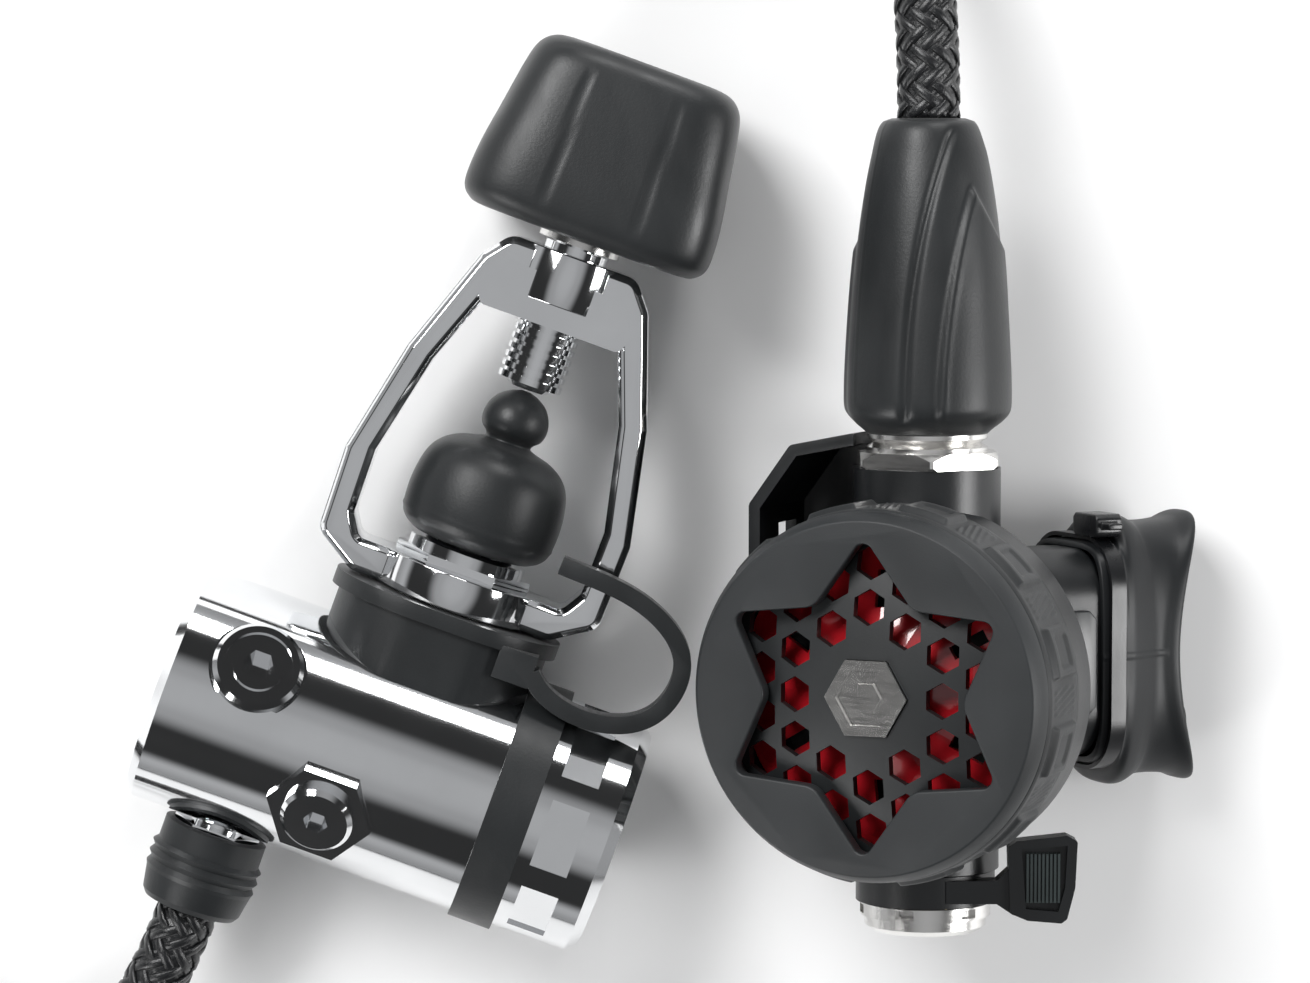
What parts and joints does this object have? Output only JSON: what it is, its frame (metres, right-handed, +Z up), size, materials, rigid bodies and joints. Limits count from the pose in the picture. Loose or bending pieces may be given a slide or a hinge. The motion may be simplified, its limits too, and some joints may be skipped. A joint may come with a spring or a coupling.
{
  "type": "scuba regulator set",
  "caption": "Scuba regulator set: side-exhaust second stage with honeycomb purge cover, rubber hose protector and braided hose, and a chrome yoke first stage.",
  "frame": {"origin": "middle of the underside of the two stages, on the surface they lie on, without the hose", "axes": "+Z up from the surface, +X towards the mouthpiece, +Y towards the hose inlet of the second stage"},
  "size_m": [0.2819, 0.2693, 0.0747],
  "materials": {
    "case_plastic": "satin black moulded plastic",
    "grip_rubber": "matt black rubber",
    "plate_plastic": "satin black",
    "polished_steel": "polished",
    "red_plastic": "glossy deep red",
    "silicone": "soft",
    "inner_steel": "plain",
    "inner_brass": "machined",
    "ring_rubber": "smooth",
    "lever_grey": "satin grey",
    "mouth_rubber": "soft satin black",
    "tie_plastic": "satin black nylon",
    "panel_gloss": "glossy black",
    "chrome": "bright chrome",
    "hose_braid": "glossy black braid"
  },
  "bodies": {
    "root": {"case_shell": "case_plastic", "grip_band": "grip_rubber", "front_ring": "case_plastic", "red_dish": "red_plastic", "diaphragm_clamp": "case_plastic", "valve_tube": "inner_brass", "lever_pin": "inner_steel", "poppet_spring": "inner_steel", "spring_plug": "inner_brass", "orifice_tube": "inner_brass", "barrel_rings": "ring_rubber", "inlet_collar": "polished_steel", "inlet_flange": "polished_steel", "end_cap": "polished_steel", "exhaust_deflector": "case_plastic", "mouthpiece": "mouth_rubber", "tie_strap": "tie_plastic", "tie_head": "tie_plastic", "horn_panel": "panel_gloss", "hose_protector": "grip_rubber", "first_body": "chrome", "first_end_cap": "chrome", "cap_window": "polished_steel", "body_band": "grip_rubber", "spring_adjuster": "inner_brass", "main_spring": "inner_steel", "high_pressure_spring": "inner_steel", "yoke_boot": "grip_rubber", "yoke_retainer": "chrome", "inlet_filter": "inner_steel", "filter_clip": "inner_steel", "inlet_ring": "ring_rubber", "yoke_frame": "chrome", "yoke_plate": "chrome", "dust_strap": "grip_rubber", "high_pressure_plug": "chrome", "low_pressure_plug": "chrome", "hose_nut": "chrome", "hose_sleeve": "grip_rubber", "hose": "hose_braid"},
    "purge": {"purge_plate": "plate_plastic", "centre_badge": "polished_steel"},
    "diaphragm_plate": {"diaphragm": "silicone", "diaphragm_disc": "inner_steel"},
    "lever": {"demand_lever": "inner_steel"},
    "valve": {"poppet": "inner_brass", "poppet_seat": "silicone"},
    "venturi": {"venturi_lever": "case_plastic", "lever_ribs": "lever_grey", "venturi_vane": "lever_grey"},
    "exhaust_flap": {"exhaust_valve": "silicone"},
    "first_stage_valve": {"first_diaphragm": "silicone", "thrust_pad": "inner_brass", "high_pressure_poppet": "inner_brass"},
    "screw_carriage": {"screw_washer": "inner_steel"},
    "knob": {"yoke_screw": "chrome", "knob_core": "inner_brass", "knob_cover": "grip_rubber"},
    "cap": {"dust_cap": "grip_rubber"}
  },
  "joints": [
    {"name": "purge_press", "type": "slide", "parent": "root", "child": "purge", "axis": [0.3907, 0, -0.9205], "range_m": [0, 0.003], "stiffness_N_per_m": 300, "springref_m": -0.002},
    {"name": "diaphragm_travel", "type": "slide", "parent": "root", "child": "diaphragm_plate", "axis": [0.3907, 0, -0.9205], "range_m": [0, 0.003]},
    {"name": "demand_lever_hinge", "type": "hinge", "parent": "root", "child": "lever", "pos_m": [0.04768, -0.023, 0.02799], "axis": [0.9205, 0, 0.3907], "range_deg": [0, 12.3]},
    {"name": "poppet_travel", "type": "slide", "parent": "root", "child": "valve", "axis": [0, -1, 0], "range_m": [0, 0.0015]},
    {"name": "venturi_turn", "type": "hinge", "parent": "root", "child": "venturi", "pos_m": [0.046, -0.031, 0.03195], "axis": [0, 1, 0], "range_deg": [0, 70]},
    {"name": "exhaust_lift", "type": "slide", "parent": "root", "child": "exhaust_flap", "axis": [0.3907, 0, -0.9205], "range_m": [0, 0.0015], "stiffness_N_per_m": 40, "springref_m": -0.001},
    {"name": "first_valve_travel", "type": "slide", "parent": "root", "child": "first_stage_valve", "axis": [-0.9397, 0.342, 0], "range_m": [0, 0.0008], "stiffness_N_per_m": 1500, "springref_m": -0.0004},
    {"name": "screw_travel", "type": "slide", "parent": "root", "child": "screw_carriage", "axis": [0.342, 0.9397, 0], "range_m": [0, 0.0123]},
    {"name": "knob_turn", "type": "hinge", "parent": "screw_carriage", "child": "knob", "pos_m": [-0.01064, 0.06188, 0.023], "axis": [0.342, 0.9397, 0], "range_deg": [0, 2520]},
    {"name": "dust_cap_lift", "type": "slide", "parent": "root", "child": "cap", "axis": [0.342, 0.9397, 0], "range_m": [0, 0.0081]}
  ],
  "couplings": [
    {"joint": "diaphragm_travel", "follows": "purge_press", "ratio": 1},
    {"joint": "demand_lever_hinge", "follows": "purge_press", "rad_per_m": 71.43},
    {"joint": "poppet_travel", "follows": "purge_press", "ratio": 0.5},
    {"joint": "screw_travel", "follows": "knob_turn", "m_per_rad": 0.00027852},
    {"joint": "dust_cap_lift", "follows": "knob_turn", "m_per_rad": 0.000182}
  ]
}
